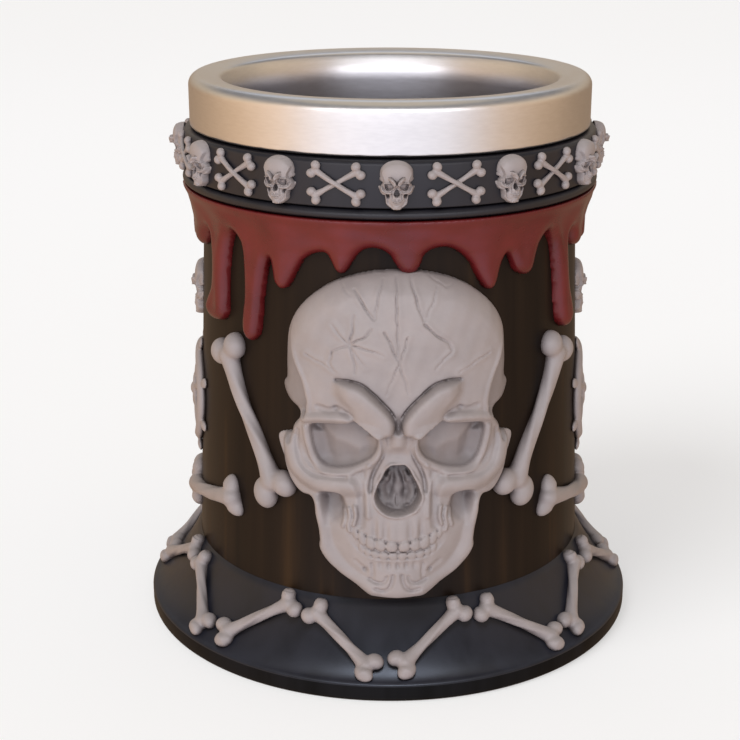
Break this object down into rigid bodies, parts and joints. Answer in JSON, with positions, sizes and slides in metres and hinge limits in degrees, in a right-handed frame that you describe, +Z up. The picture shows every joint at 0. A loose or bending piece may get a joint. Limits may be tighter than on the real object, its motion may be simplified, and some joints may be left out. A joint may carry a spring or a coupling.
{
  "type": "dice cup",
  "caption": "Round relief-decorated cup with a flared foot, a band of skulls and bones, a drip collar and a lift-out steel liner with a wide lip.",
  "frame": {"origin": "centre of the underside, on the surface that the cup stands on", "axes": "+Z up along the cup's axis, -Y towards the side of the large skull, +X to the right of that skull as seen from the front"},
  "size_m": [0.1184, 0.1184, 0.1293],
  "materials": {
    "black_resin": "satin near-black cast resin with faint brown streaks",
    "bone_resin": "hand-finished warm grey bone-coloured cast resin, darker in its recesses",
    "red_resin": "satin dark red cast resin",
    "steel": "satin stainless steel, softly brushed round the rim",
    "rubber": "matt black foam rubber"
  },
  "bodies": {
    "cup": {"cup_body": "black_resin", "base_foot": "black_resin", "base_pad": "rubber", "band_ring": "black_resin", "bead_ring": "black_resin", "rim_gasket": "rubber", "blood_drip": "red_resin", "front_skull": "bone_resin", "back_skull": "bone_resin", "front_left_bone": "bone_resin", "front_right_bone": "bone_resin", "back_left_bone": "bone_resin", "back_right_bone": "bone_resin", "left_side_skull": "bone_resin", "left_side_wheel": "bone_resin", "left_side_bones": "bone_resin", "right_side_skull": "bone_resin", "right_side_wheel": "bone_resin", "right_side_bones": "bone_resin", "band_skull_01": "bone_resin", "band_skull_02": "bone_resin", "band_skull_03": "bone_resin", "band_skull_04": "bone_resin", "band_skull_05": "bone_resin", "band_skull_06": "bone_resin", "band_skull_07": "bone_resin", "band_skull_08": "bone_resin", "band_skull_09": "bone_resin", "band_skull_10": "bone_resin", "band_skull_11": "bone_resin", "band_skull_12": "bone_resin", "band_crossbones_01": "bone_resin", "band_crossbones_02": "bone_resin", "band_crossbones_03": "bone_resin", "band_crossbones_04": "bone_resin", "band_crossbones_05": "bone_resin", "band_crossbones_06": "bone_resin", "band_crossbones_07": "bone_resin", "band_crossbones_08": "bone_resin", "band_crossbones_09": "bone_resin", "band_crossbones_10": "bone_resin", "band_crossbones_11": "bone_resin", "band_crossbones_12": "bone_resin", "foot_bone_01": "bone_resin", "foot_bone_02": "bone_resin", "foot_bone_03": "bone_resin", "foot_bone_04": "bone_resin", "foot_bone_05": "bone_resin", "foot_bone_06": "bone_resin", "foot_bone_07": "bone_resin", "foot_bone_08": "bone_resin", "foot_bone_09": "bone_resin", "foot_bone_10": "bone_resin", "foot_bone_11": "bone_resin", "foot_bone_12": "bone_resin", "foot_bone_13": "bone_resin", "foot_bone_14": "bone_resin", "foot_bone_15": "bone_resin", "foot_bone_16": "bone_resin"},
    "liner": {"steel_liner": "steel"}
  },
  "joints": [
    {"name": "liner_lift", "type": "slide", "parent": "cup", "child": "liner", "axis": [0, 0, 1], "range_m": [0, 0.13]}
  ]
}
